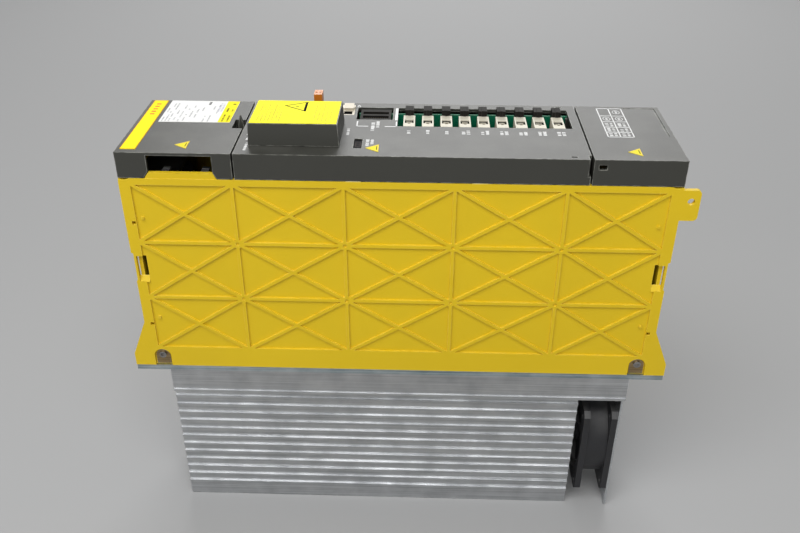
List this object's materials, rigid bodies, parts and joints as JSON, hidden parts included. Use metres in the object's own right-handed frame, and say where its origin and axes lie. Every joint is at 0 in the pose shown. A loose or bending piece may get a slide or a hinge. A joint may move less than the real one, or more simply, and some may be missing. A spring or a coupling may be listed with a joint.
{
  "type": "servo drive module",
  "caption": "Panel-mounted servo drive module with a finned heat sink behind its flange, a ribbed moulded case, hinged covers and a pull-out control unit.",
  "frame": {"origin": "middle of the mounting flange's back face, at the centre of its bolt pattern", "axes": "X along the module towards its terminal end, Y across its width, +Z out of its front, away from the heat sink"},
  "size_m": [0.3812, 0.09, 0.3204],
  "materials": {
    "yellow_moulding": "satin moulded",
    "grey_moulding": "fine grained moulded",
    "black_moulding": "satin moulded",
    "flange_aluminium": "sawn and brushed",
    "sink_aluminium": "extruded",
    "sheet_steel": "zinc plated",
    "passivated_steel": "yellow passivated",
    "screw_steel": "plated",
    "copper": "tinned copper bar",
    "board_green": "solder resist",
    "cream_moulding": "moulded",
    "beige_moulding": "moulded",
    "orange_moulding": "moulded",
    "insulator_red": "moulded",
    "capacitor_sleeve": "heat-shrunk sleeve",
    "yellow_label": "printed film",
    "white_label": "printed film",
    "display_window": "smoked window"
  },
  "bodies": {
    "chassis": {"side_wall_near": "yellow_moulding", "side_wall_far": "yellow_moulding", "fan_end_wall": "yellow_moulding", "terminal_end_wall": "yellow_moulding", "mounting_flange": "flange_aluminium", "heatsink": "sink_aluminium", "heatsink_fan_bracket": "sheet_steel", "heatsink_fan_frame": "black_moulding", "case_washers": "passivated_steel", "case_screws": "screw_steel", "igbt_modules": "cream_moulding", "igbt_screws": "screw_steel", "board_standoffs": "passivated_steel", "power_board": "board_green", "capacitors": "capacitor_sleeve", "current_sensors": "black_moulding", "relay": "cream_moulding", "dc_pillars": "insulator_red", "dc_bus_bars": "copper", "dc_terminal_block": "black_moulding", "dc_terminal_screws": "screw_steel", "terminal_block": "black_moulding", "terminal_screws": "screw_steel", "window_tabs": "black_moulding"},
    "heatsink_rotor": {"heatsink_fan_rotor": "black_moulding"},
    "tray": {"fan_tray": "black_moulding", "fan_guards": "sheet_steel", "fan_frame_a": "black_moulding", "fan_frame_b": "black_moulding"},
    "rotor_a": {"fan_rotor_a": "black_moulding"},
    "rotor_b": {"fan_rotor_b": "black_moulding"},
    "fan_lid": {"fan_cover": "grey_moulding", "strip_label": "yellow_label", "rating_plate": "white_label", "fan_cover_mark": "yellow_label"},
    "latch": {"cover_latch": "grey_moulding"},
    "control_unit": {"faceplate": "grey_moulding", "faceplate_mark": "yellow_label", "status_display": "display_window", "control_board": "board_green", "control_chips": "black_moulding", "signal_connector_1": "cream_moulding", "signal_connector_2": "cream_moulding", "signal_connector_3": "cream_moulding", "signal_connector_4": "cream_moulding", "signal_connector_5": "cream_moulding", "signal_connector_6": "cream_moulding", "signal_connector_7": "cream_moulding", "signal_connector_8": "cream_moulding", "signal_connector_9": "cream_moulding", "connector_latches": "black_moulding", "bus_connector": "black_moulding", "monitor_connector": "beige_moulding", "plug_header": "beige_moulding"},
    "plug": {"orange_plug": "orange_moulding"},
    "dc_lid": {"dc_link_cover": "grey_moulding", "dc_cover_label": "yellow_label"},
    "terminal_lid": {"terminal_cover": "grey_moulding", "terminal_cover_mark": "yellow_label"}
  },
  "joints": [
    {"name": "heatsink_fan_spin", "type": "hinge", "parent": "chassis", "child": "heatsink_rotor", "pos_m": [0.1525, 0, -0.0785], "axis": [1, 0, 0], "continuous": true},
    {"name": "fan_tray_slide", "type": "slide", "parent": "chassis", "child": "tray", "axis": [-1, 0, 0], "range_m": [0, 0.035]},
    {"name": "fan_a_spin", "type": "hinge", "parent": "tray", "child": "rotor_a", "pos_m": [-0.162, 0, 0.0524], "axis": [1, 0, 0], "continuous": true},
    {"name": "fan_b_spin", "type": "hinge", "parent": "tray", "child": "rotor_b", "pos_m": [-0.162, 0, 0.1156], "axis": [1, 0, 0], "continuous": true},
    {"name": "fan_cover_hinge", "type": "hinge", "parent": "chassis", "child": "fan_lid", "pos_m": [-0.1757, 0, 0.159], "axis": [0, -1, 0], "range_deg": [0, 100]},
    {"name": "cover_latch_press", "type": "slide", "parent": "fan_lid", "child": "latch", "axis": [-1, 0, 0], "range_m": [0, 0.002], "stiffness_N_per_m": 300},
    {"name": "control_unit_slide", "type": "slide", "parent": "chassis", "child": "control_unit", "axis": [0, 0, 1], "range_m": [0, 0.13]},
    {"name": "orange_plug_pull", "type": "slide", "parent": "control_unit", "child": "plug", "axis": [0, 0, 1], "range_m": [0, 0.018]},
    {"name": "dc_cover_hinge", "type": "hinge", "parent": "control_unit", "child": "dc_lid", "pos_m": [-0.0675, 0.0081, 0.1747], "axis": [-1, 0, 0], "range_deg": [0, 90]},
    {"name": "terminal_cover_hinge", "type": "hinge", "parent": "chassis", "child": "terminal_lid", "pos_m": [0.1757, 0, 0.159], "axis": [0, 1, 0], "range_deg": [0, 100]}
  ]
}
